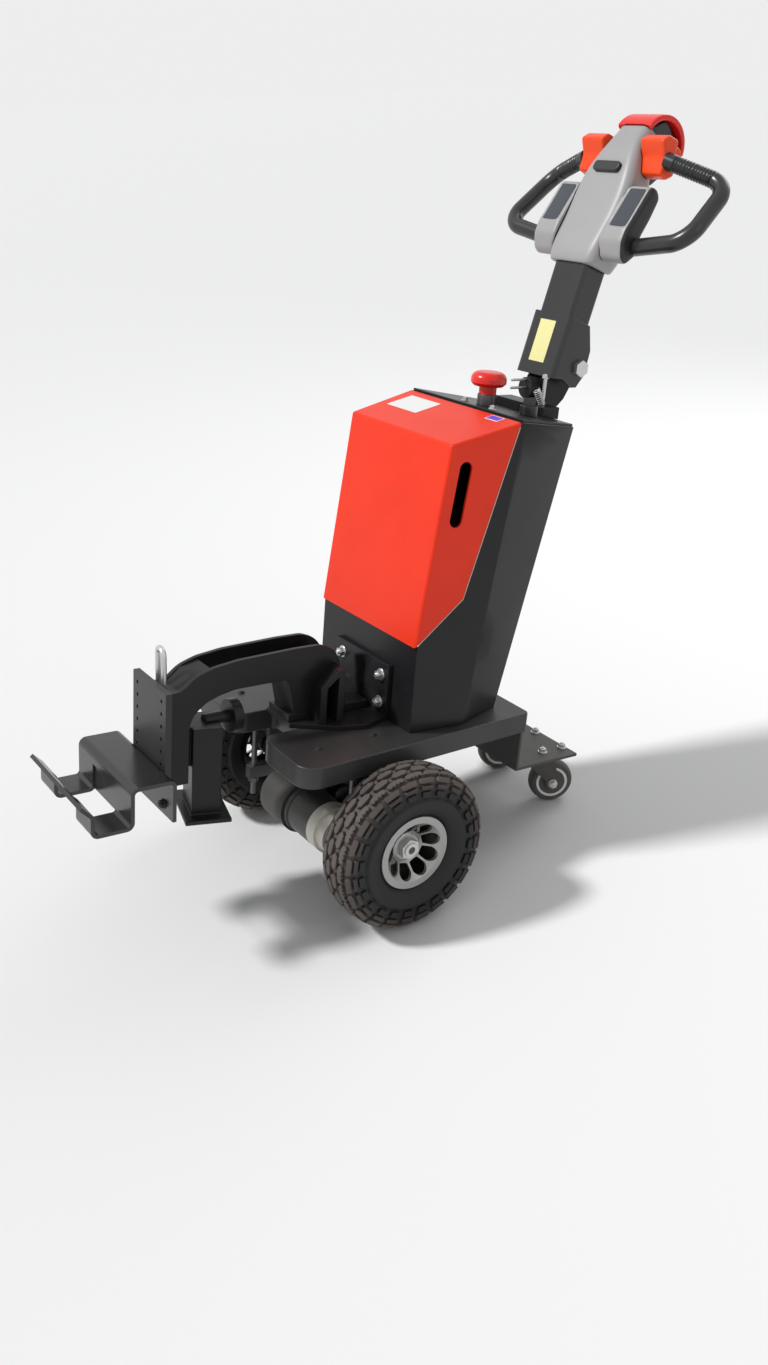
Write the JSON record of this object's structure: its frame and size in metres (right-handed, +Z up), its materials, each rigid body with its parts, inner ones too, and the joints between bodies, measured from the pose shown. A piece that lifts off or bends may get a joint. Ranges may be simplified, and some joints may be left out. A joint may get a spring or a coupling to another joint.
{
  "type": "electric tow tractor",
  "caption": "Walk-behind electric tow tractor with two drive wheels, rear casters, a hitch arm with a hook plate and a tiller with looped handles.",
  "frame": {"origin": "on the floor under the middle of the overall length and width", "axes": "+Z up, -Y towards the hitch and the load, +Y towards the operator, +X to the left of an operator who faces the machine"},
  "size_m": [0.514, 1.1642, 1.1308],
  "materials": {
    "tyre": "matt moulded rubber",
    "rim": "light grey paint",
    "zinc": "zinc plated",
    "frame": "near-black satin powder coat",
    "cover": "bright orange-red gloss paint",
    "motor": "cast and machined aluminium",
    "gearcase": "cast aluminium",
    "battery": "plastic case",
    "stop": "red moulded plastic",
    "dark_plastic": "black moulded plastic",
    "head": "light grey moulded plastic",
    "display": "dark blue-grey window",
    "lever": "orange moulded plastic",
    "cap": "red moulded plastic",
    "rubber": "black rubber",
    "steel": "bare and plated steel",
    "caster_wheel": "dark grey polyurethane"
  },
  "bodies": {
    "chassis": {"caster_mounts": "steel", "axle_tubes": "frame", "axle_clamps": "steel", "arm_sides": "frame", "chassis_plate": "frame", "rear_shelf": "frame", "column_shell": "frame", "red_cover": "cover", "column_deck": "frame", "battery_pack": "battery", "stop_collar": "steel", "stop_button": "stop", "key_switch": "dark_plastic", "pivot_block": "frame", "bumper": "rubber", "gearcase": "gearcase", "drive_motor": "motor", "hitch_bracket": "frame", "arm_base": "frame", "arm_web": "frame", "arm_lock": "frame", "hole_plate": "frame", "hook_bracket": "frame", "pull_ring": "steel", "post": "frame", "cross_tube": "frame"},
    "wheel_left": {"tyre_left": "tyre", "rim_left": "rim", "hub_left": "zinc"},
    "wheel_right": {"tyre_right": "tyre", "rim_right": "rim", "hub_right": "zinc"},
    "caster_left": {"caster_fork_left": "steel"},
    "caster_right": {"caster_fork_right": "steel"},
    "caster_roll_left": {"caster_wheel_left": "caster_wheel"},
    "caster_roll_right": {"caster_wheel_right": "caster_wheel"},
    "tiller": {"pivot_bolt": "zinc", "tiller_sleeve": "frame", "tiller_tube": "frame", "head_spine": "head", "head_core": "dark_plastic", "head_cap": "cap", "head_wings": "head", "displays": "display", "thumb_levers": "lever", "rocker_switch": "dark_plastic", "handle_left": "dark_plastic", "handle_right": "dark_plastic"}
  },
  "joints": [
    {"name": "drive_left", "type": "hinge", "parent": "chassis", "child": "wheel_left", "pos_m": [0.216, -0.1268, 0.134], "axis": [1, 0, 0], "continuous": true},
    {"name": "swivel_left", "type": "hinge", "parent": "chassis", "child": "caster_left", "pos_m": [0.0735, 0.26941, 0.09717], "axis": [0, 0.1323, 0.9912], "continuous": true},
    {"name": "roll_left", "type": "hinge", "parent": "caster_left", "child": "caster_roll_left", "pos_m": [0.08712, 0.28875, 0.04], "axis": [-0.891, 0.45, -0.06], "continuous": true},
    {"name": "drive_right", "type": "hinge", "parent": "chassis", "child": "wheel_right", "pos_m": [-0.216, -0.1268, 0.134], "axis": [1, 0, 0], "continuous": true},
    {"name": "swivel_right", "type": "hinge", "parent": "chassis", "child": "caster_right", "pos_m": [-0.0735, 0.26941, 0.09717], "axis": [0, 0.1323, 0.9912], "continuous": true},
    {"name": "roll_right", "type": "hinge", "parent": "caster_right", "child": "caster_roll_right", "pos_m": [-0.05988, 0.28875, 0.04], "axis": [-0.891, 0.45, -0.06], "continuous": true},
    {"name": "tiller_hinge", "type": "hinge", "parent": "chassis", "child": "tiller", "pos_m": [0, 0.36279, 0.76378], "axis": [-1, 0, 0], "range_deg": [0, 68], "stiffness_Nm_per_rad": 6, "springref_deg": -57.3}
  ]
}
